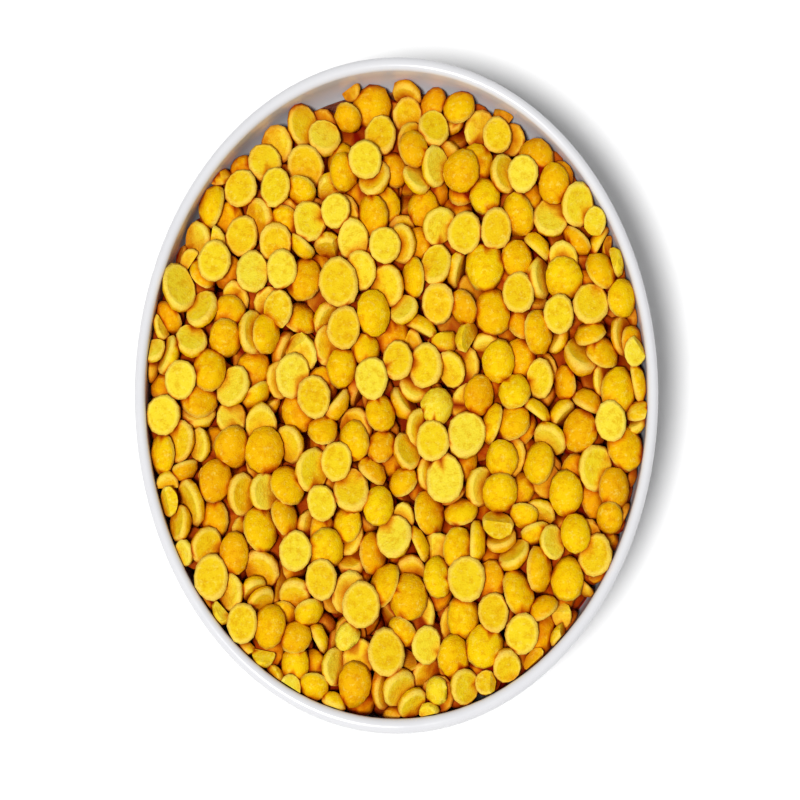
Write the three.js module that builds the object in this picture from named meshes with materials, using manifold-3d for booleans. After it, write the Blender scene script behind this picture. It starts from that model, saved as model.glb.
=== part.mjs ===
// A small oval white dish, filled to its rim with toor dal: split, skinned yellow pigeon peas.
// Millimetres, +Z up. The origin is on the table under the middle of the dish, and +Y runs along the dish.
import * as THREE from "three";
import { mergeVertices } from "three/addons/utils/BufferGeometryUtils.js";
import Module from "manifold-3d";

const wasm = await Module();
wasm.setup();

// Driving dimensions of the dish
const RIM_WIDTH = 82; // across X, outside
const RIM_LENGTH = 107.5; // along Y, outside
const DISH_HEIGHT = 28;
const WALL = 1.7; // the rim's thickness across X; the drawing out makes the ends thicker
const BOWL_FULLNESS = 2.5; // superellipse exponent of the section: 2 is an ellipse, more is squarer
const FLOOR_TOP = 3.6; // the inside floor's height above the table
const FOOT_OUTER = 24; // the foot ring's half width across X
const FOOT_WIDTH = 2.6;
const FOOT_EDGE = 0.6; // the chamfer on both edges of the foot ring
const FOOT_RECESS = 1.4; // the underside's height above the table, inside the foot ring

// Driving dimensions of the dal
const GAP = 0.3; // clearance between the dal and the dish
const DAL_EDGE_DROP = 1.4; // the dal's surface below the rim where it meets the wall
const DAL_CROWN = 1.2; // rise of its surface from the wall to the middle
const SPLIT_LENGTH = [6.0, 7.0]; // smallest and largest split, along its longer axis
const SPLIT_WIDTH = [4.9, 5.7];
const SPLIT_THICKNESS = [2.0, 2.5];
const SPLITS = 172;
const SPLIT_SUNK = 1.3; // how far the middle of a split's flat face lies below the dal's surface
const LARGEST_TILT = 0.42; // radians
const YAW_SPREAD = 0.8; // radians either side of the dish's long axis
const FLAT_SIDE_UP = 0.45; // share of the splits
const WALL_SHARE = 0.88; // past this share of the way to the wall, splits lie along it

// Facets
const DISH_SIDES = 48;
const CORE_SIDES = 48;
const SPLIT_SIDES = 7;
const BOWL_STEPS = 7;
const LIP_STEPS = 4;
const CROWN_STEPS = 2;

// Sizes that follow from these
const RIM_RADIUS = RIM_WIDTH / 2;
const OVAL = RIM_LENGTH / RIM_WIDTH; // how far the round turning is drawn out along Y
const LIP_RADIUS = WALL / 2;
const BOWL_TOP = DISH_HEIGHT - LIP_RADIUS;
const DAL_EDGE = DISH_HEIGHT - DAL_EDGE_DROP;
const GOLDEN_ANGLE = Math.PI * (3 - Math.sqrt(5));

// A repeatable random number from 0 to 1 (mulberry32)
function randomFrom(seed) {
  let state = seed;
  return () => {
    state = (state + 0x6d2b79f5) | 0;
    let mixed = Math.imul(state ^ (state >>> 15), state | 1);
    mixed ^= mixed + Math.imul(mixed ^ (mixed >>> 7), mixed | 61);
    return ((mixed ^ (mixed >>> 14)) >>> 0) / 4294967296;
  };
}

// A profile of radius and height, turned about Z and then drawn out along Y into an oval
function ovalTurning(profile, sides) {
  return new THREE.LatheGeometry(profile, sides).rotateX(Math.PI / 2).scale(1, OVAL, 1);
}

// A bowl's section: `count` + 1 points of a quarter superellipse, from the rim down to the middle of the floor
function bowlSection(radius, top, bottom, count) {
  return Array.from({ length: count + 1 }, (_, i) => {
    const turn = (i / count) * (Math.PI / 2);
    return new THREE.Vector2(
      i === count ? 0 : radius * Math.cos(turn) ** (2 / BOWL_FULLNESS),
      top - (top - bottom) * Math.sin(turn) ** (2 / BOWL_FULLNESS),
    );
  });
}

// Height of such a section at a given radius
function bowlHeight(at, radius, top, bottom) {
  return top - (top - bottom) * (1 - (at / radius) ** BOWL_FULLNESS) ** (1 / BOWL_FULLNESS);
}

// Radius of a stepped section at a given height
function radiusAt(section, height) {
  const lower = section.findIndex((point) => point.y <= height);
  const [above, below] = [section[lower - 1], section[lower]];
  return THREE.MathUtils.mapLinear(height, below.y, above.y, below.x, above.x);
}

// The dish: a foot ring, the outside of the bowl, a round lip and the inside of the bowl
function dishGeometry() {
  const outsideBottom = FLOOR_TOP - WALL;
  const footInner = FOOT_OUTER - FOOT_WIDTH;
  const footTop = bowlHeight(FOOT_OUTER, RIM_RADIUS, BOWL_TOP, outsideBottom);
  const foot = [
    new THREE.Vector2(0, FOOT_RECESS),
    new THREE.Vector2(footInner - FOOT_EDGE, FOOT_RECESS),
    new THREE.Vector2(footInner, 0),
    new THREE.Vector2(FOOT_OUTER - FOOT_EDGE, 0),
    new THREE.Vector2(FOOT_OUTER, FOOT_EDGE),
    new THREE.Vector2(FOOT_OUTER, footTop),
  ];
  const outside = bowlSection(RIM_RADIUS, BOWL_TOP, outsideBottom, BOWL_STEPS)
    .filter((point) => point.x > FOOT_OUTER + FOOT_EDGE)
    .reverse();
  const lip = new THREE.Path()
    .absarc(RIM_RADIUS - LIP_RADIUS, BOWL_TOP, LIP_RADIUS, 0, Math.PI)
    .getPoints(LIP_STEPS)
    .slice(1, -1);
  const inside = bowlSection(RIM_RADIUS - WALL, BOWL_TOP, FLOOR_TOP, BOWL_STEPS);
  return ovalTurning([...foot, ...outside, ...lip, ...inside], DISH_SIDES);
}

// The dal's cavity, one gap inside the dish, and the dal's half width where it meets the wall
const CAVITY = bowlSection(RIM_RADIUS - WALL - GAP, BOWL_TOP, FLOOR_TOP + GAP, BOWL_STEPS);
const DAL_RADIUS = radiusAt(CAVITY, DAL_EDGE);

// Height of the dal's surface, by its share of the way from the middle to the wall
function dalSurface(share) {
  return DAL_EDGE + DAL_CROWN * (1 - share ** 2);
}

// The heap's core: the filled part of the cavity, under a low crown
function dalCoreGeometry() {
  const below = CAVITY.filter((point) => point.y < DAL_EDGE - GAP).reverse();
  const crown = Array.from({ length: CROWN_STEPS + 1 }, (_, i) => {
    const share = 1 - i / CROWN_STEPS;
    return new THREE.Vector2(DAL_RADIUS * share, dalSurface(share) - SPLIT_SUNK / 2);
  });
  return ovalTurning([...below, ...crown], CORE_SIDES);
}

// One split pea of unit half width, half length and thickness: a flat face below and a dome above
function unitSplitGeometry() {
  const section = [
    new THREE.Vector2(0, 0),
    new THREE.Vector2(1, 0.12),
    new THREE.Vector2(0.76, 0.72),
    new THREE.Vector2(0, 1),
  ];
  return new THREE.LatheGeometry(section, SPLIT_SIDES).rotateX(Math.PI / 2);
}

// Where each split lies: a sunflower spiral over the dal's surface, with a seeded size, turn and tilt
function splitPlacements() {
  const random = randomFrom(7);
  const between = ([low, high]) => low + (high - low) * random();
  const eitherWay = (most) => most * (2 * random() - 1);
  return Array.from({ length: SPLITS }, (_, k) => {
    const [width, length, thickness] = [SPLIT_WIDTH, SPLIT_LENGTH, SPLIT_THICKNESS].map(between);
    const size = new THREE.Vector3(width / 2, length / 2, thickness);
    const share = Math.sqrt((k + 0.5) / SPLITS);
    const around = k * GOLDEN_ANGLE;
    const clear = GAP + size.x;
    const x = (DAL_RADIUS - clear) * share * Math.cos(around);
    const y = (DAL_RADIUS * OVAL - clear) * share * Math.sin(around);
    const byWall = share > WALL_SHARE;
    const alongWall = Math.atan2(y / OVAL ** 2, x);
    const yaw = byWall ? alongWall : eitherWay(YAW_SPREAD);
    const mostTilt = byWall ? LARGEST_TILT / 3 : LARGEST_TILT;
    const flipped = random() < FLAT_SIDE_UP;
    const pitch = eitherWay(mostTilt) + (flipped ? Math.PI : 0);
    const turn = new THREE.Euler(pitch, eitherWay(mostTilt), yaw, "ZYX");
    const base = dalSurface(share) - SPLIT_SUNK + (flipped ? thickness : 0);
    const place = new THREE.Vector3(x, y, base);
    return new THREE.Matrix4().compose(place, new THREE.Quaternion().setFromEuler(turn), size);
  });
}

// A closed geometry as a solid, and a solid as a geometry
function solid(geometry) {
  const bare = new THREE.BufferGeometry();
  bare.setAttribute("position", geometry.getAttribute("position"));
  bare.setIndex(geometry.getIndex());
  const merged = mergeVertices(bare, 1e-3);
  const triVerts = new Uint32Array(merged.getIndex().array);
  return new wasm.Manifold(
    new wasm.Mesh({ numProp: 3, vertProperties: merged.getAttribute("position").array, triVerts }),
  );
}

function geometryOf(manifold) {
  const mesh = manifold.getMesh();
  const geometry = new THREE.BufferGeometry();
  geometry.setAttribute("position", new THREE.BufferAttribute(mesh.vertProperties, mesh.numProp));
  geometry.setIndex(new THREE.BufferAttribute(mesh.triVerts, 1));
  return geometry;
}

// The heap: the core with the splits that show fused on, any hollow sealed between them filled
function dalHeapGeometry() {
  const unitSplit = unitSplitGeometry();
  const splits = splitPlacements().map((place) => solid(unitSplit.clone().applyMatrix4(place)));
  const heap = splits.reduce((joined, split) => joined.add(split), solid(dalCoreGeometry()));
  const bodies = heap.decompose().sort((a, b) => b.volume() - a.volume());
  return geometryOf(bodies[0]);
}

function namedMesh(name, geometry, finish) {
  const mesh = new THREE.Mesh(geometry, new THREE.MeshStandardMaterial(finish));
  mesh.name = name;
  return mesh;
}

const dishOfDal = new THREE.Group();
dishOfDal.add(namedMesh("dish", dishGeometry(), { color: 0xeeeef0, roughness: 0.2, metalness: 0 }));
dishOfDal.add(namedMesh("dal_heap", dalHeapGeometry(), { color: 0xf0b520, roughness: 0.6, metalness: 0 }));

export default dishOfDal;
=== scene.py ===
"""A white oval dish filled with split toor dal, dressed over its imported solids, in metres with +Z up."""
import math
import random
import bmesh
import bpy
import numpy as np
from mathutils import Euler, Matrix, Vector, noise
from mathutils.bvhtree import BVHTree


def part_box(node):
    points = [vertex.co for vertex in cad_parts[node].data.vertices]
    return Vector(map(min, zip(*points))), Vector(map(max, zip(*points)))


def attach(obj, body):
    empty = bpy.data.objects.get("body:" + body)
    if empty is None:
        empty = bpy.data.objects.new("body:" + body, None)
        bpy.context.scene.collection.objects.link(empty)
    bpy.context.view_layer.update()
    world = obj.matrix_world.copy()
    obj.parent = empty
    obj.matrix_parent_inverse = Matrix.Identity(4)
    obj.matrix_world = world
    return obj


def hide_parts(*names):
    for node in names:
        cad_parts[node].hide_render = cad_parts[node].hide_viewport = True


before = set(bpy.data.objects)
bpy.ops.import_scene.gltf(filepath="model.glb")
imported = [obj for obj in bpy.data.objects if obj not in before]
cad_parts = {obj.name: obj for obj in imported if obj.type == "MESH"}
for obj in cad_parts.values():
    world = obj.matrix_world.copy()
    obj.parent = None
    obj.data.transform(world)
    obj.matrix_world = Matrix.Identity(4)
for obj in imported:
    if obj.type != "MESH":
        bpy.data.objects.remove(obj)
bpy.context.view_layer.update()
MM = 0.001
WELD = 0.01 * MM
UP = Vector((0, 0, 1))
GOLDEN_ANGLE = math.pi * (3 - math.sqrt(5))

# The dish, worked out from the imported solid
dish_lo, dish_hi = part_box("dish")
RIM_RADIUS = (dish_hi.x - dish_lo.x) / 2
OVAL = (dish_hi.y - dish_lo.y) / (dish_hi.x - dish_lo.x)
DISH_HEIGHT = dish_hi.z
WALL = 1.7 * MM
INSIDE_RADIUS = RIM_RADIUS - WALL
LIP_RADIUS = WALL / 2
BOWL_TOP = DISH_HEIGHT - LIP_RADIUS
BOWL_FULLNESS = 2.5
FLOOR_TOP = 3.6 * MM
FOOT_OUTER = 24 * MM
FOOT_WIDTH = 2.6 * MM
FOOT_EDGE = 0.6 * MM
FOOT_RECESS = 1.4 * MM
BARE_FOOT = 0.7 * MM
DISH_SIDES = 128
BOWL_STEPS = 26
LIP_STEPS = 8

# The bed of dal under the loose splits, and the splits that lie half sunk in it
HEAP_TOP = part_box("dal_heap")[1].z
GAP = 0.3 * MM
BED_EDGE = DISH_HEIGHT - 9.4 * MM
BED_CROWN = 2.6 * MM
BED_FILLET = 2 * MM
FILLET_POWER = 20
BED_SUNK = 0.2 * MM
BED_SPLITS = 220
BED_SPLIT_CLEAR = 2.6 * MM
BED_SPLIT_SUNK = 0.3 * MM
BED_TILT = 0.5

# Rays to the sky, by their lean and how many of them, that tell how much sky a place between the splits
# can't see, for the shade painted there
SKY_RINGS = ((0, 1), (0.5, 5), (0.95, 6))
SKY_REACH = 12 * MM
SKY_CLEAR = 0.05 * MM

# The size of the splits, before the dish and they are drawn out to the oval
SPLIT_ACROSS = (4.7 * MM, 5.5 * MM)
SPLIT_THICKNESS = (1.95 * MM, 2.4 * MM)
LONGEST_SPLIT = 1.1
SIZE_SPREAD = 0.07
SMALLEST_SPLIT = 0.82
LARGEST_SPLIT = 1.22
BIT_SIZE = 0.72

# The shape of a split, one unit in radius and in height
SPLIT_SHAPES = 9
BROKEN_SHAPES = 6
SPLIT_SIDES = 14
SPLIT_RINGS = 6
RIM_BEVEL = 0.16
RIM_HEIGHT = 1e-3
CUT_REACH = 1e-4
DOME_SHOULDER = 1.12
LOBES = (2, 3)
LOBE_DEPTH = (0.01, 0.03)
NICK_DEPTH = (0, 0.05)
NICK_WIDTH = 0.4
LEAN = (-0.1, 0.1)
UNEVEN = 0.08
UNEVEN_SCALE = 1.8
UNEVEN_START = (0, 50)
SNAP_ASIDE = (-1, 1)
SNAP_LEAN = (-0.5, 0.5)
SNAP_PLACE = (-0.1, 0.35)
HULL_RINGS = ((0.82, 0), (0.99, 0.17), (0.87, 0.5), (0.5, 0.87))
HULL_SIDES = 10

# The masks on a split: its dome, its rounded faces, and the fall of its edge mask with height
DOME_START = 0.02
DOME_BLEND = 0.16
ROUNDED_ABOVE = 0.05
MOST_ROUNDED_CORNERS = 4
EDGE_FALL = 0.6

# The small round maps of each split's dome, flat face and snapped side, which the export bakes through
BAKE_MAP = "OFBake"
DOME_MAP, FLAT_MAP, SNAPPED_MAP = range(3)
WHOLE_MAPS = 2
BROKEN_MAPS = 3
DOME_SEAT = Vector((0, 0, 0.3))
DOME_WIDEST = 2.1
FLAT_FACING = -0.9
SNAPPED_FACING = 0.85
MAP_FILL = 0.46

# The pour, worked in centimetres, because the solver likes bodies about that size
SEED = 11
SOLVER_SCALE = 100
SPLITS = 690
BROKEN_ONE_IN = 14
FIRST_BROKEN = 5
POUR_LAYER = 82
POUR_CLEAR = 2.9 * MM
POUR_SPREAD = 0.45
LAYER_STEP = 6 * MM
WALL_SPLITS = 44
WALL_RINGS = 2
WALL_CLEAR = 3 * MM
WALL_BITS = 62
BIT_CLEAR = 2 * MM
FLAT_SIDE_UP = 0.5
TUMBLE = 0.25
COLLAR = 110 * MM
POUR_SIDES = 64
POUR_FRAMES = 62
PULL = 30
SUBSTEPS = 8
ITERATIONS = 12
FRICTION = 0.5
MARGIN = 0.004
SLOWING = 0.05
SPIN_SLOWING = 0.2
SPLIT_MASS = 0.05

# The plate that levels the heap: how far down it comes, and when it starts, arrives and leaves
PRESS_LEVEL = DISH_HEIGHT + 0.6 * MM
PRESS_START = 150 * MM
PRESS_FRAMES = (22, 52, 57)
PRESS_LIFT = 4 * MM
PRESS_CLEAR = 1 * MM
PRESS_THICKNESS = 5 * MM
PRESS_SIDES = 32

# The low place in the heap along the far wall: its direction, its reach to each side and in, and its depth
LOW_TURN = math.radians(107)
LOW_SPREAD = math.radians(70)
LOW_WIDTH = 14 * MM
LOW_DROP = 7.6 * MM

# The colours of the dal, each row from dark to pale, and the shade painted into the gaps between the splits,
# from open sky to hidden sky
FLAT_TONES = ((0.82, 0.53, 0.006), (0.84, 0.62, 0.012), (0.87, 0.7, 0.04))
DOME_TONES = ((0.82, 0.41, 0.001), (0.86, 0.52, 0.001), (0.88, 0.61, 0.003))
CLOUD_TINTS = ((0.87, 0.7, 0.35), (0.97, 0.93, 0.8), (1, 1, 1))
GAP_SHADE_TINTS = ((1, 1, 1), (0.97, 0.8, 0.62), (0.8, 0.43, 0.2), (0.5, 0.12, 0.04), (0.24, 0.008, 0.004))
WORN_EDGE = (0.93, 0.72, 0.15, 1)
FLOUR = (0.93, 0.78, 0.14, 1)
FLOUR_STRENGTH = 0.6
SPLIT_FLOUR = 0.17
BROKEN_FLOUR = 0.22
# The bed is painted near black red as the shade deep under the splits, and its flour specks are painted
# shaded too
BED_SHADE_TONES = ((0.06, 0.006, 0.001), (0.12, 0.018, 0.001), (0.2, 0.04, 0.002))
BED_SHADED_FLOUR = (0.3, 0.09, 0.004, 1)

# The colours of the dish and the floor
GLAZE_TONES = ((0.68, 0.68, 0.705), (0.72, 0.72, 0.735))
BISCUIT = (0.66, 0.62, 0.55, 1)
BISCUIT_SPECKS = (0.5, 0.45, 0.37, 1)
FLOOR_TONES = ((0.88, 0.88, 0.88), (0.9, 0.9, 0.9))

# The clouding and the specks that the finishes share
FINE_CLOUD = 4.3
FINE_SHARE = 0.4
BARE_LIMIT = 0.72
SPECK_BLUR = 0.2

# The sockets of a Mix node, which go by number because several share a name
MIX_FACTOR = 0
MIX_NUMBER_A = 2
MIX_NUMBER_B = 3
MIX_COLOUR_A = 6
MIX_COLOUR_B = 7
MIX_COLOUR_OUT = 2

# The camera, the light and the floor
PHOTO_PIXELS = 800
PIXEL = 0.1563 * MM
CAMERA_AIM = Vector((0.55 * MM, -1.8 * MM, DISH_HEIGHT))
CAMERA_ELEVATION = math.radians(80)
CAMERA_DISTANCE = 0.55
CAMERA_NEAREST = 0.01
SENSOR = 36
LIGHT_FROM = Vector((-0.2, -0.28, 1))
LIGHT_WIDTH = math.radians(11.5)
LIGHT_STRENGTH = 3.08
SKY_STRENGTH = 0.28
FLOOR_HALF = 12


def about_axis(reach, turn, height):
    """A spot by its distance from the upright axis, its turn about that axis and its height."""
    return reach * math.cos(turn), reach * math.sin(turn), height


def bowl_section(radius, top, bottom):
    """Points of a full, round bottomed bowl, from its rim to the middle of its floor."""
    points = []
    for step in range(BOWL_STEPS + 1):
        turn = math.pi / 2 * step / BOWL_STEPS
        out = radius * max(math.cos(turn), 0) ** (2 / BOWL_FULLNESS)
        down = (top - bottom) * math.sin(turn) ** (2 / BOWL_FULLNESS)
        points.append(Vector((out, 0, top - down)))
    return points


def turned(points, sides, oval):
    """A profile spun once round the upright axis, and drawn out to an oval along Y."""
    shape = bmesh.new()
    profile = [shape.verts.new(point) for point in points]
    for here, there in zip(profile, profile[1:]):
        shape.edges.new((here, there))
    line = shape.verts[:] + shape.edges[:]
    bmesh.ops.spin(shape, geom=line, axis=UP, cent=(0, 0, 0), angle=math.tau, steps=sides, use_merge=True)
    bmesh.ops.remove_doubles(shape, verts=shape.verts[:], dist=WELD)
    bmesh.ops.scale(shape, vec=(1, oval, 1), verts=shape.verts[:])
    bmesh.ops.recalc_face_normals(shape, faces=shape.faces[:])
    return shape


def add_object(name, mesh, *materials):
    """Puts a mesh into the scene, with its materials."""
    for material in materials:
        mesh.materials.append(material)
    added = bpy.data.objects.new(name, mesh)
    bpy.context.scene.collection.objects.link(added)
    return added


def smooth_piece(name, shape, *materials):
    """A shape as a smooth shaded piece."""
    for face in shape.faces:
        face.smooth = True
    mesh = bpy.data.meshes.new(name)
    shape.to_mesh(mesh)
    shape.free()
    return add_object(name, mesh, *materials)


def place_on(piece, node):
    """Hangs a finished piece on the root body, and hides the imported part that it stands in for."""
    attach(piece, "root")
    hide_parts(node)


def lip_points():
    """The round of the lip, from the outside over to the inside, without its two ends."""
    turns = [math.pi * step / LIP_STEPS for step in range(1, LIP_STEPS)]
    middle = Vector((RIM_RADIUS - LIP_RADIUS, 0, BOWL_TOP))
    return [middle + LIP_RADIUS * Vector((math.cos(turn), 0, math.sin(turn))) for turn in turns]


def foot_points(outside_bottom):
    """The foot ring, from the middle of the underside out to where the ring meets the bowl."""
    foot_inner = FOOT_OUTER - FOOT_WIDTH
    rise = (1 - (FOOT_OUTER / RIM_RADIUS) ** BOWL_FULLNESS) ** (1 / BOWL_FULLNESS)
    foot_top = BOWL_TOP - (BOWL_TOP - outside_bottom) * rise
    return [
        Vector((0, 0, FOOT_RECESS)),
        Vector((foot_inner - FOOT_EDGE, 0, FOOT_RECESS)),
        Vector((foot_inner, 0, 0)),
        Vector((FOOT_OUTER - FOOT_EDGE, 0, 0)),
        Vector((FOOT_OUTER, 0, FOOT_EDGE)),
        Vector((FOOT_OUTER, 0, foot_top)),
    ]


def dish_shape():
    """The oval dish: foot ring, full outside, rounded lip and full inside."""
    outside_bottom = FLOOR_TOP - WALL
    outside = bowl_section(RIM_RADIUS, BOWL_TOP, outside_bottom)
    outside = [point for point in reversed(outside) if point.x > FOOT_OUTER + FOOT_EDGE]
    inside = bowl_section(INSIDE_RADIUS, BOWL_TOP, FLOOR_TOP)
    return turned(foot_points(outside_bottom) + outside + lip_points() + inside, DISH_SIDES, OVAL)


def bed_height(share):
    """Height of the bed's top, by its share of the way to the wall, where it climbs a little."""
    return BED_EDGE + BED_CROWN * (1 - share ** 2) + BED_FILLET * share ** FILLET_POWER


def bed_points():
    """Profile of the bed, from the middle of its top to the middle of its floor."""
    wall = bowl_section(INSIDE_RADIUS - GAP, BOWL_TOP, FLOOR_TOP + GAP)
    below = [point for point in wall if point.z < bed_height(1)]
    shares = [math.sin(math.pi / 2 * step / BOWL_STEPS) for step in range(BOWL_STEPS)]
    return [Vector((below[0].x * share, 0, bed_height(share))) for share in shares] + below


def cut_away(shape, middle, away):
    """Cuts off what lies past a plane, and closes the cut."""
    everything = shape.verts[:] + shape.edges[:] + shape.faces[:]
    bmesh.ops.bisect_plane(shape, geom=everything, dist=CUT_REACH, plane_co=middle, plane_no=away,
                           clear_outer=True)
    bmesh.ops.contextual_create(shape, geom=[edge for edge in shape.edges if edge.is_boundary])


def split_outline(rng):
    """How far a split's edge stands from a true round, by turn: soft lobes, and a small nick at its eye."""
    lobes = [(lobe, rng.uniform(*LOBE_DEPTH), rng.uniform(0, math.tau)) for lobe in LOBES]
    eye = rng.uniform(0, math.tau)
    nick = rng.uniform(*NICK_DEPTH)

    def edge(turn):
        away = (turn - eye + math.pi) % math.tau - math.pi
        waves = sum(depth * math.cos(lobe * turn + start) for lobe, depth, start in lobes)
        return 1 + waves - nick * math.exp(-(away / NICK_WIDTH) ** 2)
    return edge


def split_shape(rng, snap):
    """Half a toor seed, one unit in radius and in height: a dome over a flat face, or part of one."""
    shape = bmesh.new()
    bmesh.ops.create_uvsphere(shape, u_segments=SPLIT_SIDES, v_segments=SPLIT_RINGS, radius=1)
    cut_away(shape, (0, 0, 0), (0, 0, -1))
    rim = [edge for edge in shape.edges if all(abs(vert.co.z) < RIM_HEIGHT for vert in edge.verts)]
    bmesh.ops.bevel(shape, geom=rim, offset=RIM_BEVEL, offset_type="OFFSET", segments=1, profile=0.5,
                    affect="EDGES", material=-1)
    flat = min(shape.faces, key=lambda face: face.calc_center_median().z)
    bmesh.ops.poke(shape, faces=[flat])
    if snap:
        cut_away(shape, *snap)
    edge = split_outline(rng)
    lean = Vector((rng.uniform(*LEAN), rng.uniform(*LEAN), 0))
    start = Vector((rng.uniform(*UNEVEN_START), rng.uniform(*UNEVEN_START), 0))
    for vert in shape.verts:
        climb = math.asin(min(1, max(0, vert.co.z))) / (math.pi / 2)
        vert.co *= DOME_SHOULDER ** (1 - abs(2 * climb - 1))
        rough = 1 + UNEVEN * noise.noise(vert.co * UNEVEN_SCALE + start)
        reach = edge(math.atan2(vert.co.y, vert.co.x)) * rough
        vert.co = Vector((vert.co.x * reach, vert.co.y * reach, vert.co.z * rough)) + lean * vert.co.z
    bmesh.ops.recalc_face_normals(shape, faces=shape.faces[:])
    return shape


def snap_plane(rng):
    """Where a broken split has snapped: a spot on the break, and the way that the break faces."""
    away = Vector((rng.uniform(*SNAP_ASIDE), rng.uniform(*SNAP_ASIDE), rng.uniform(*SNAP_LEAN))).normalized()
    return away * rng.uniform(*SNAP_PLACE), away


def in_turn(face):
    """A face's corners; a snapped side's start at its lowest X, so that each run gives the same mesh."""
    corners = face.verts[:]
    first = 0
    if len(corners) > MOST_ROUNDED_CORNERS:
        first = corners.index(min(corners, key=lambda vert: vert.co.x))
    return corners[first:] + corners[:first]


def map_spots(shape, snap):
    """For each corner: which of its split's maps it is on, and where, up to one from its middle."""
    shape.normal_update()
    spots = []
    for face in shape.faces:
        snapped = snap and face.normal.dot(snap[1]) > SNAPPED_FACING
        for vert in in_turn(face):
            if snapped:
                along = UP.cross(snap[1]).normalized()
                spots.append((SNAPPED_MAP, vert.co.dot(along), vert.co.dot(snap[1].cross(along))))
            elif face.normal.z < FLAT_FACING:
                spots.append((FLAT_MAP, vert.co.x, vert.co.y))
            else:
                away = vert.co - DOME_SEAT
                out = away.xy.normalized() * away.angle(UP) / DOME_WIDEST
                spots.append((DOME_MAP, out.x, out.y))
    return np.array(spots)


def split_hull(snap):
    """The few points that the solver takes for a split."""
    turns = [math.tau * side / HULL_SIDES for side in range(HULL_SIDES)]
    points = [about_axis(out, turn, up) for out, up in HULL_RINGS for turn in turns]
    points = np.array(points + [(0, 0, 1)])
    if snap:
        middle, away = np.array(snap[0]), np.array(snap[1])
        past = np.maximum(0, (points - middle) @ away)
        points -= past[:, None] * away
    return points


def is_rounded(face):
    """Whether a face belongs to the dome or the rim, and is shaded smooth."""
    return len(face.verts) <= MOST_ROUNDED_CORNERS and max(vert.co.z for vert in face.verts) > ROUNDED_ABOVE


def split_pattern(rng, broken):
    """A split's points about its middle, its faces and which are rounded, its masks, maps and hull."""
    snap = snap_plane(rng) if broken else None
    shape = split_shape(rng, snap)
    shape.verts.index_update()
    points = np.array([vert.co for vert in shape.verts])
    hull = split_hull(snap)
    middle = (hull.min(0) + hull.max(0)) / 2
    pattern = {
        "points": points - middle,
        "corners": [[vert.index for vert in in_turn(face)] for face in shape.faces],
        "rounded": [is_rounded(face) for face in shape.faces],
        "dome": np.clip((points[:, 2] - DOME_START) / DOME_BLEND, 0, 1),
        "out": np.hypot(points[:, 0], points[:, 1]) - EDGE_FALL * points[:, 2],
        "spots": map_spots(shape, snap),
        "hull": hull - middle,
    }
    shape.free()
    return pattern


def split_size(rng):
    """The scale of one split, for its width, length and thickness."""
    grow = max(SMALLEST_SPLIT, min(LARGEST_SPLIT, rng.gauss(1, SIZE_SPREAD)))
    across = rng.uniform(*SPLIT_ACROSS) / 2 * grow
    return np.diag((across, across * rng.uniform(1, LONGEST_SPLIT), rng.uniform(*SPLIT_THICKNESS) * grow))


def tumbled(rng, spot, tilt):
    """A split at a spot, either face up and tilted a little."""
    over = math.pi if rng.random() < FLAT_SIDE_UP else 0
    turn = Euler((over + rng.gauss(0, tilt), rng.gauss(0, tilt), rng.uniform(0, math.tau)), "ZYX")
    return Matrix.LocRotScale(Vector(spot), turn, None)


def main_pour(rng):
    """Where the splits start their fall, in layers over the dish."""
    starts = []
    for index in range(SPLITS):
        layer, place = divmod(index, POUR_LAYER)
        reach = (INSIDE_RADIUS - POUR_CLEAR) * ((place + 0.5) / POUR_LAYER) ** POUR_SPREAD
        spot = about_axis(reach, place * GOLDEN_ANGLE + layer, DISH_HEIGHT + layer * LAYER_STEP)
        starts.append(tumbled(rng, spot, TUMBLE))
    return starts


def wall_pour(rng, count, clear, layer):
    """Where a last ring of splits starts its fall, along the wall."""
    height = DISH_HEIGHT + (SPLITS / POUR_LAYER + layer) * LAYER_STEP
    spots = [about_axis(INSIDE_RADIUS - clear, math.tau * place / count, height) for place in range(count)]
    return [tumbled(rng, spot, TUMBLE) for spot in spots]


def bed_places(rng):
    """Splits that lie half sunk all over the bed, so that no bare bed shows between the loose ones."""
    places = []
    for index in range(BED_SPLITS):
        reach = (INSIDE_RADIUS - BED_SPLIT_CLEAR) * math.sqrt((index + 0.5) / BED_SPLITS)
        height = bed_height(reach / INSIDE_RADIUS) - BED_SPLIT_SUNK
        places.append(tumbled(rng, about_axis(reach, index * GOLDEN_ANGLE, height), BED_TILT))
    return places


def solver_body(name, points, corners, start):
    """A body for the pour, in the solver's own units."""
    mesh = bpy.data.meshes.new(name)
    mesh.from_pydata((np.array(points) * SOLVER_SCALE).tolist(), [], corners)
    body = add_object(name, mesh)
    place, turn, _ = start.decompose()
    body.matrix_world = Matrix.LocRotScale(place * SOLVER_SCALE, turn, None)
    return body


def make_rigid(bodies, kind, hull):
    """Hands the bodies to the solver."""
    for other in bpy.context.selected_objects:
        other.select_set(False)
    for body in bodies:
        body.select_set(True)
    bpy.context.view_layer.objects.active = bodies[0]
    bpy.ops.rigidbody.objects_add(type=kind)
    for body in bodies:
        rigid = body.rigid_body
        rigid.collision_shape = hull
        rigid.friction = FRICTION
        rigid.restitution = 0
        rigid.use_margin = True
        rigid.collision_margin = MARGIN
        rigid.linear_damping = SLOWING
        rigid.angular_damping = SPIN_SLOWING
        rigid.mass = SPLIT_MASS


def pour_bowl_shape():
    """The round dish's inside, with the bed in it and a tall collar, for the splits to fall into."""
    wall = bowl_section(INSIDE_RADIUS, BOWL_TOP, FLOOR_TOP)
    above = [point for point in reversed(wall) if point.z >= bed_height(1)]
    collar = Vector((wall[0].x, 0, DISH_HEIGHT + COLLAR))
    return turned(bed_points()[:BOWL_STEPS] + above + [collar], POUR_SIDES, 1)


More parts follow.
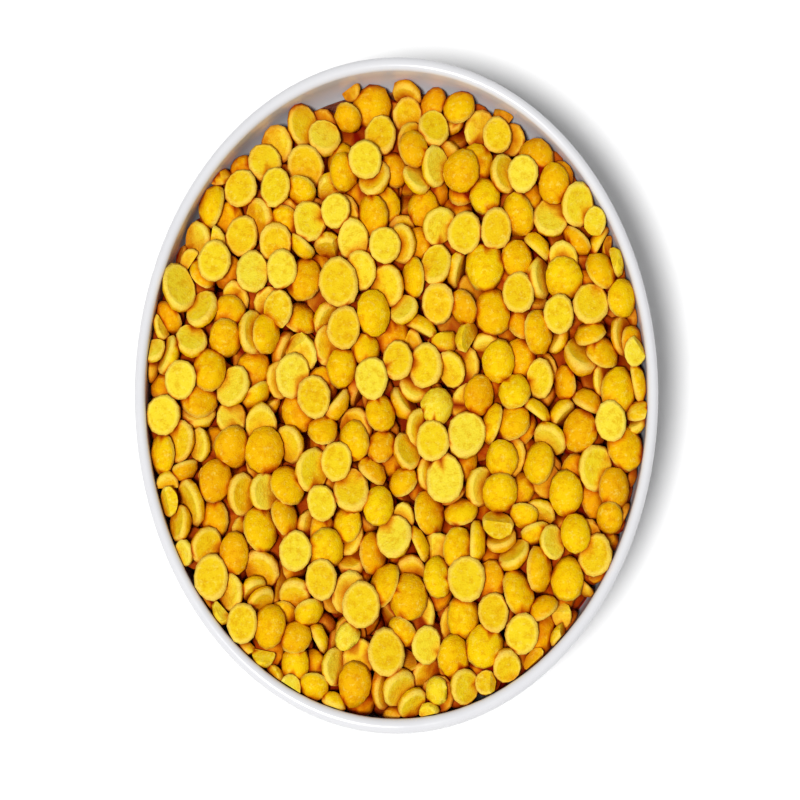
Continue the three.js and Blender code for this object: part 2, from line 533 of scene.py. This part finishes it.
def pour_wall():
    """The pour's bowl as a solver body, its faces in a fixed order so that each run gives the same pour."""
    bowl = pour_bowl_shape()
    bowl.verts.index_update()
    points = [vert.co[:] for vert in bowl.verts]
    faces = []
    for face in bowl.faces:
        corners = [vert.index for vert in face.verts]
        first = corners.index(min(corners))
        faces.append(corners[first:] + corners[:first])
    bowl.free()
    return solver_body("pour_bowl", points, sorted(faces), Matrix.Identity(4))


def press_plate():
    """A round plate that fits inside the wall, to level the heap with."""
    turns = [math.tau * side / PRESS_SIDES for side in range(PRESS_SIDES)]
    reach = INSIDE_RADIUS - PRESS_CLEAR
    points = [about_axis(reach, turn, up) for turn in turns for up in (0, PRESS_THICKNESS)]
    plate = solver_body("press_plate", points, [], Matrix.Translation((0, 0, PRESS_START)))
    make_rigid([plate], "PASSIVE", "CONVEX_HULL")
    plate.rigid_body.kinematic = True
    plate.rigid_body.friction = 0
    return plate


def press_height(step):
    """Height of the plate: high over the pour, then down to its level, and off again before the end."""
    start, arrived, leaves = PRESS_FRAMES
    left = 1 - min(max((step - start) / (arrived - start), 0), 1)
    return PRESS_LEVEL + (PRESS_START - PRESS_LEVEL) * left ** 2 + PRESS_LIFT * max(step - leaves, 0)


def settled(hulls, starts):
    """Lets the splits fall into the round dish, levels them, and gives the place where each one rests."""
    scene = bpy.context.scene
    bpy.ops.rigidbody.world_add()
    world = scene.rigidbody_world
    world.substeps_per_frame = SUBSTEPS
    world.solver_iterations = ITERATIONS
    world.point_cache.frame_end = POUR_FRAMES
    scene.gravity = (0, 0, -PULL)
    wall = pour_wall()
    bodies = [solver_body("pour_split", hull, [], start) for hull, start in zip(hulls, starts)]
    make_rigid(bodies, "ACTIVE", "CONVEX_HULL")
    make_rigid([wall], "PASSIVE", "MESH")
    plate = press_plate()
    for step in range(1, POUR_FRAMES + 1):
        plate.location.z = press_height(step) * SOLVER_SCALE
        scene.frame_set(step)
    places = []
    for body in bodies:
        spot, turn, _ = body.matrix_world.decompose()
        places.append(Matrix.LocRotScale(spot / SOLVER_SCALE, turn, None))
    bpy.ops.rigidbody.world_remove()
    for body in bodies + [wall, plate]:
        bpy.data.meshes.remove(body.data)
    scene.frame_set(1)
    return places


def in_the_dish(place):
    """Whether a settled split lies inside the wall and under the heap's top, which falls to the far wall."""
    spot = place.translation
    reach = math.hypot(spot.x, spot.y)
    aside = abs(math.atan2(spot.y, spot.x) - LOW_TURN) / LOW_SPREAD
    towards_wall = 1 - (INSIDE_RADIUS - reach) / LOW_WIDTH
    drop = LOW_DROP * max(0, 1 - aside ** 2) * max(0, towards_wall)
    return reach < INSIDE_RADIUS and spot.z < HEAP_TOP - drop


def poured_splits(rng, whole, broken):
    """The settled splits, whole ones and then broken bits, as pattern, size, place and tone."""
    snapped = [index % BROKEN_ONE_IN == FIRST_BROKEN for index in range(SPLITS)]
    snapped += [False] * (WALL_SPLITS * WALL_RINGS) + [True] * WALL_BITS
    patterns = [rng.choice(broken if snap else whole) for snap in snapped]
    sizes = [split_size(rng) for _ in patterns]
    sizes[-WALL_BITS:] = [size * BIT_SIZE for size in sizes[-WALL_BITS:]]
    starts = main_pour(rng)
    for ring in range(WALL_RINGS):
        starts += wall_pour(rng, WALL_SPLITS, WALL_CLEAR, ring + 1)
    starts += wall_pour(rng, WALL_BITS, BIT_CLEAR, WALL_RINGS + 1)
    tones = [rng.random() for _ in patterns]
    hulls = [pattern["hull"] @ size for pattern, size in zip(patterns, sizes)]
    kinds = {False: [], True: []}
    for snap, pattern, size, place, tone in zip(snapped, patterns, sizes, settled(hulls, starts), tones):
        if in_the_dish(place):
            kinds[snap].append((pattern, size, place, tone))
    return kinds[False], kinds[True]


def sunk_splits(rng, whole):
    """The splits that lie half sunk in the bed, as pattern, size, place and tone."""
    return [(rng.choice(whole), split_size(rng), place, rng.random()) for place in bed_places(rng)]


def lay_out_maps(mesh, spots):
    """Lays the small maps of all the splits out side by side, as one map for the export."""
    across = math.ceil(math.sqrt(spots[:, 0].max() + 1))
    row, column = np.divmod(spots[:, 0], across)
    middles = np.stack((column, row), 1) + 0.5
    places = (middles + MAP_FILL * spots[:, 1:]) / across
    mesh.uv_layers.new(name=BAKE_MAP).data.foreach_set("uv", places.ravel())


def joined_splits(name, splits, maps, material):
    """All the splits of one kind as one piece, drawn out with the dish, with their masks as attributes."""
    points, corners, rounded, spots = [], [], [], []
    masks = {"dome": [], "out": [], "tone": []}
    first = 0
    for index, (pattern, size, place, tone) in enumerate(splits):
        matrix = np.array(place)
        here = (pattern["points"] @ size) @ matrix[:3, :3].T + matrix[:3, 3]
        points.append(here)
        corners += [[first + corner for corner in face] for face in pattern["corners"]]
        rounded += pattern["rounded"]
        spots.append(pattern["spots"] + (index * maps, 0, 0))
        masks["dome"].append(pattern["dome"])
        masks["out"].append(pattern["out"])
        masks["tone"].append(np.full(len(here), tone))
        first += len(here)
    mesh = bpy.data.meshes.new(name)
    drawn_out = np.concatenate(points) * (1, OVAL, 1)
    mesh.from_pydata(drawn_out.tolist(), [], corners)
    for mask, values in masks.items():
        mesh.attributes.new(mask, "FLOAT", "POINT").data.foreach_set("value", np.concatenate(values))
    mesh.polygons.foreach_set("use_smooth", rounded)
    lay_out_maps(mesh, np.concatenate(spots))
    return add_object(name, mesh, material)


def sky_rays():
    """Directions to the sky, straight up and in rings that lean out."""
    rays = []
    for lean, count in SKY_RINGS:
        turns = [math.tau * step / count + lean for step in range(count)]
        rays += [Vector(about_axis(math.sin(lean), turn, math.cos(lean))) for turn in turns]
    return rays


def mark_painted_shade(pieces, around):
    """Gives each point of the pieces the share of the sky that is hidden from it, as the mask for the shade
    painted into their colour.
    """
    points, corners = [], []
    for piece in pieces + around:
        first = len(points)
        points += [vert.co.copy() for vert in piece.data.vertices]
        corners += [[first + index for index in face.vertices] for face in piece.data.polygons]
    tree = BVHTree.FromPolygons(points, corners)
    rays = sky_rays()
    for piece in pieces:
        painted_shade = []
        for vert in piece.data.vertices:
            start = vert.co + vert.normal * SKY_CLEAR
            hidden = [tree.ray_cast(start, ray, SKY_REACH)[0] is not None for ray in rays]
            painted_shade.append(sum(hidden) / len(rays))
        piece.data.attributes.new("painted_shade", "FLOAT", "POINT").data.foreach_set("value", painted_shade)


def add_node(tree, kind, sockets=None, **settings):
    """One node with its settings, and its sockets given a value or linked to another node's output."""
    node = tree.nodes.new("ShaderNode" + kind)
    for name, value in settings.items():
        setattr(node, name, value)
    for name, value in (sockets or {}).items():
        if isinstance(value, bpy.types.NodeSocket):
            tree.links.new(value, node.inputs[name])
        else:
            node.inputs[name].default_value = value
    return node


def worked_out(tree, operation, *values, clamp=False):
    """The outcome of one sum on two or three values."""
    return add_node(tree, "Math", dict(enumerate(values)), operation=operation, use_clamp=clamp).outputs[0]


def in_range(tree, value, limits):
    """A value taken from one range to another; a limit that isn't given is nought or one."""
    return add_node(tree, "MapRange", {"Value": value, **limits}).outputs[0]


def clouds(tree, scale, detail, roughness):
    """Noise in the part's own frame; its scale is cells in a metre."""
    where = add_node(tree, "TexCoord").outputs["Object"]
    sockets = {"Vector": where, "Scale": scale, "Detail": detail, "Roughness": roughness}
    return add_node(tree, "TexNoise", sockets).outputs["Fac"]


def new_group(name, inputs, outputs):
    """An empty shader group with number inputs and outputs, and its two end nodes."""
    group = bpy.data.node_groups.new(name, "ShaderNodeTree")
    for label in inputs:
        group.interface.new_socket(label, in_out="INPUT", socket_type="NodeSocketFloat")
    for label in outputs:
        group.interface.new_socket(label, in_out="OUTPUT", socket_type="NodeSocketFloat")
    return group, group.nodes.new("NodeGroupInput"), group.nodes.new("NodeGroupOutput")


def mottle_group():
    """Soft clouding in two sizes, from nought to one, and its finer size alone."""
    group, start, end = new_group("mottle", ("Scale", "Contrast"), ("Value", "Fine"))
    coarse = clouds(group, start.outputs["Scale"], detail=2, roughness=0.55)
    fine_scale = worked_out(group, "MULTIPLY", start.outputs["Scale"], FINE_CLOUD)
    fine = clouds(group, fine_scale, detail=3, roughness=0.6)
    sizes = {MIX_FACTOR: FINE_SHARE, MIX_NUMBER_A: coarse, MIX_NUMBER_B: fine}
    both = add_node(group, "Mix", sizes, data_type="FLOAT")
    centred = worked_out(group, "SUBTRACT", both.outputs[0], 0.5)
    spread = worked_out(group, "MULTIPLY_ADD", centred, start.outputs["Contrast"], 0.5, clamp=True)
    group.links.new(spread, end.inputs["Value"])
    group.links.new(fine, end.inputs["Fine"])
    return group


def bloom_group():
    """A floury dusting that lies in specks; a higher Cover gives more of it."""
    group, start, end = new_group("floury_bloom", ("Scale", "Cover"), ("Mask",))
    specks = clouds(group, start.outputs["Scale"], detail=4, roughness=0.7)
    bare = worked_out(group, "SUBTRACT", BARE_LIMIT, start.outputs["Cover"])
    full = worked_out(group, "ADD", bare, SPECK_BLUR)
    mask = in_range(group, specks, {"From Min": bare, "From Max": full})
    group.links.new(mask, end.inputs["Mask"])
    return group


def new_material(name):
    """A material and its tree, with only its shader and its output."""
    material = bpy.data.materials.new(name)
    material.use_nodes = True
    return material, material.node_tree, material.node_tree.nodes["Principled BSDF"]


def ramp(tree, factor, colours):
    """A colour ramp of evenly spaced colours."""
    node = add_node(tree, "ValToRGB", {"Fac": factor})
    stops = node.color_ramp.elements
    while len(stops) < len(colours):
        stops.new(0.5)
    for index, colour in enumerate(colours):
        stops[index].position = index / (len(colours) - 1)
        stops[index].color = (*colour, 1)
    return node.outputs["Color"]


def blend_colour(tree, factor, under, over, mode="MIX"):
    """Two colours laid over each other by a mask."""
    sockets = {MIX_FACTOR: factor, MIX_COLOUR_A: under, MIX_COLOUR_B: over}
    mix = add_node(tree, "Mix", sockets, data_type="RGBA", blend_type=mode)
    return mix.outputs[MIX_COLOUR_OUT]


def attribute(tree, name):
    """A mask that the mesh carries."""
    return add_node(tree, "Attribute", attribute_name=name).outputs["Fac"]


def add_relief(tree, shader, height, strength, distance):
    """Gives the shader a bump from a height."""
    relief = add_node(tree, "Bump", {"Height": height, "Strength": strength, "Distance": distance})
    tree.links.new(relief.outputs[0], shader.inputs["Normal"])


def dal_finish(name, groups, dome_tones, cover):
    """Dry split dal: flat face and dome in their own tones, floury, with worn edges, and shade painted dark
    into the gaps where the sky is hidden.
    """
    material, tree, shader = new_material(name)
    mottle = add_node(tree, "Group", {"Scale": 900, "Contrast": 4.2}, node_tree=groups["mottle"])
    bloom = add_node(tree, "Group", {"Scale": 1300, "Cover": cover}, node_tree=groups["bloom"])
    tone = attribute(tree, "tone")
    flat = ramp(tree, tone, FLAT_TONES)
    colour = blend_colour(tree, attribute(tree, "dome"), flat, ramp(tree, tone, dome_tones))
    clouding = ramp(tree, mottle.outputs["Value"], CLOUD_TINTS)
    colour = blend_colour(tree, 1, colour, clouding, "MULTIPLY")
    edge = in_range(tree, attribute(tree, "out"), {"From Min": 0.72, "From Max": 0.9})
    worn = worked_out(tree, "MULTIPLY", edge, mottle.outputs["Fine"])
    colour = blend_colour(tree, worn, colour, WORN_EDGE)
    dusting = worked_out(tree, "MULTIPLY", bloom.outputs["Mask"], FLOUR_STRENGTH)
    colour = blend_colour(tree, dusting, colour, FLOUR)
    # Painted shade: darker and redder where more of the sky is hidden from a point
    gap_shade = ramp(tree, attribute(tree, "painted_shade"), GAP_SHADE_TINTS)
    colour = blend_colour(tree, 1, colour, gap_shade, "MULTIPLY")
    tree.links.new(colour, shader.inputs["Base Color"])
    rough = in_range(tree, mottle.outputs["Value"], {"To Min": 0.62, "To Max": 0.46})
    tree.links.new(rough, shader.inputs["Roughness"])
    shader.inputs["Specular IOR Level"].default_value = 0.03
    add_relief(tree, shader, mottle.outputs["Fine"], strength=0.5, distance=0.3 * MM)
    return material


def bed_finish(groups):
    """The bed under the splits, painted near black red as the shade deep between them, with shaded flour
    specks.
    """
    material, tree, shader = new_material("dal_bed")
    mottle = add_node(tree, "Group", {"Scale": 260, "Contrast": 3}, node_tree=groups["mottle"])
    bloom = add_node(tree, "Group", {"Scale": 1200, "Cover": 0.1}, node_tree=groups["bloom"])
    colour = ramp(tree, mottle.outputs["Value"], BED_SHADE_TONES)
    colour = blend_colour(tree, bloom.outputs["Mask"], colour, BED_SHADED_FLOUR)
    tree.links.new(colour, shader.inputs["Base Color"])
    shader.inputs["Roughness"].default_value = 0.7
    add_relief(tree, shader, mottle.outputs["Value"], strength=0.8, distance=1 * MM)
    return material


def glaze_finish(groups):
    """White glaze, a little cool, with a faint unevenness."""
    material, tree, shader = new_material("white_glaze")
    mottle = add_node(tree, "Group", {"Scale": 70, "Contrast": 2}, node_tree=groups["mottle"])
    colour = ramp(tree, mottle.outputs["Value"], GLAZE_TONES)
    tree.links.new(colour, shader.inputs["Base Color"])
    rough = in_range(tree, mottle.outputs["Fine"], {"To Min": 0.14, "To Max": 0.26})
    tree.links.new(rough, shader.inputs["Roughness"])
    add_relief(tree, shader, mottle.outputs["Value"], strength=0.06, distance=0.4 * MM)
    return material


def biscuit_finish(groups):
    """The bare foot that the dish was fired on."""
    material, tree, shader = new_material("bare_foot")
    bloom = add_node(tree, "Group", {"Scale": 900, "Cover": 0.2}, node_tree=groups["bloom"])
    colour = blend_colour(tree, bloom.outputs["Mask"], BISCUIT, BISCUIT_SPECKS)
    tree.links.new(colour, shader.inputs["Base Color"])
    shader.inputs["Roughness"].default_value = 0.85
    return material


def floor_finish(groups):
    """The plain pale floor."""
    material, tree, shader = new_material("pale_floor")
    mottle = add_node(tree, "Group", {"Scale": 12, "Contrast": 1}, node_tree=groups["mottle"])
    colour = ramp(tree, mottle.outputs["Value"], FLOOR_TONES)
    tree.links.new(colour, shader.inputs["Base Color"])
    shader.inputs["Roughness"].default_value = 0.9
    shader.inputs["Specular IOR Level"].default_value = 0.1
    return material


def set_camera():
    """The photograph's view: from the near side, high up, through a long lens."""
    back = Vector((0, -math.cos(CAMERA_ELEVATION), math.sin(CAMERA_ELEVATION)))
    data = bpy.data.cameras.new("camera")
    data.sensor_width = SENSOR
    data.lens = SENSOR * CAMERA_DISTANCE / (PHOTO_PIXELS * PIXEL)
    data.clip_start = CAMERA_NEAREST
    camera = bpy.data.objects.new("camera", data)
    spot = CAMERA_AIM + back * CAMERA_DISTANCE
    camera.matrix_world = Matrix.LocRotScale(spot, back.to_track_quat("Z", "Y"), None)
    bpy.context.scene.collection.objects.link(camera)
    bpy.context.scene.camera = camera


def make_floor(groups):
    """The pale floor, which isn't part of the object."""
    shape = bmesh.new()
    bmesh.ops.create_grid(shape, x_segments=2, y_segments=2, size=FLOOR_HALF)
    smooth_piece("floor", shape, floor_finish(groups))


def set_light():
    """A white sky, and a wide, even light from the left and the near side."""
    world = bpy.data.worlds.new("studio")
    world.use_nodes = True
    surround = world.node_tree.nodes["Background"]
    surround.inputs["Color"].default_value = (1, 1, 1, 1)
    surround.inputs["Strength"].default_value = SKY_STRENGTH
    bpy.context.scene.world = world
    data = bpy.data.lights.new("key", "SUN")
    data.angle = LIGHT_WIDTH
    data.energy = LIGHT_STRENGTH
    light = bpy.data.objects.new("key", data)
    light.matrix_world = Matrix.LocRotScale(None, LIGHT_FROM.to_track_quat("Z", "Y"), None)
    bpy.context.scene.collection.objects.link(light)
    bpy.context.scene.view_settings.view_transform = "Standard"


def make_dish(groups):
    """The white dish, with its foot left bare."""
    shape = dish_shape()
    for face in shape.faces:
        face.material_index = int(max(vert.co.z for vert in face.verts) < BARE_FOOT)
    piece = smooth_piece("white_dish", shape, glaze_finish(groups), biscuit_finish(groups))
    place_on(piece, "dish")
    return piece


def make_bed(groups):
    """The bed that closes the heap under the loose splits."""
    shape = turned(bed_points(), DISH_SIDES, OVAL)
    bmesh.ops.translate(shape, vec=(0, 0, -BED_SUNK), verts=shape.verts[:])
    piece = smooth_piece("dal_bed", shape, bed_finish(groups))
    place_on(piece, "dal_heap")
    return piece


def make_splits(groups, around):
    """The poured splits with those half sunk in the bed, and the broken bits."""
    rng = random.Random(SEED)
    whole_patterns = [split_pattern(rng, False) for _ in range(SPLIT_SHAPES)]
    broken_patterns = [split_pattern(rng, True) for _ in range(BROKEN_SHAPES)]
    whole, broken = poured_splits(rng, whole_patterns, broken_patterns)
    whole += sunk_splits(rng, whole_patterns)
    split_dal = dal_finish("split_dal", groups, DOME_TONES, SPLIT_FLOUR)
    broken_dal = dal_finish("broken_dal", groups, FLAT_TONES, BROKEN_FLOUR)
    pieces = [
        joined_splits("dal_splits", whole, WHOLE_MAPS, split_dal),
        joined_splits("dal_broken", broken, BROKEN_MAPS, broken_dal),
    ]
    for piece in pieces:
        place_on(piece, "dal_heap")
    mark_painted_shade(pieces, around)


groups = {"mottle": mottle_group(), "bloom": bloom_group()}
set_camera()
make_floor(groups)
set_light()
dish = make_dish(groups)
bed = make_bed(groups)
make_splits(groups, [dish, bed])
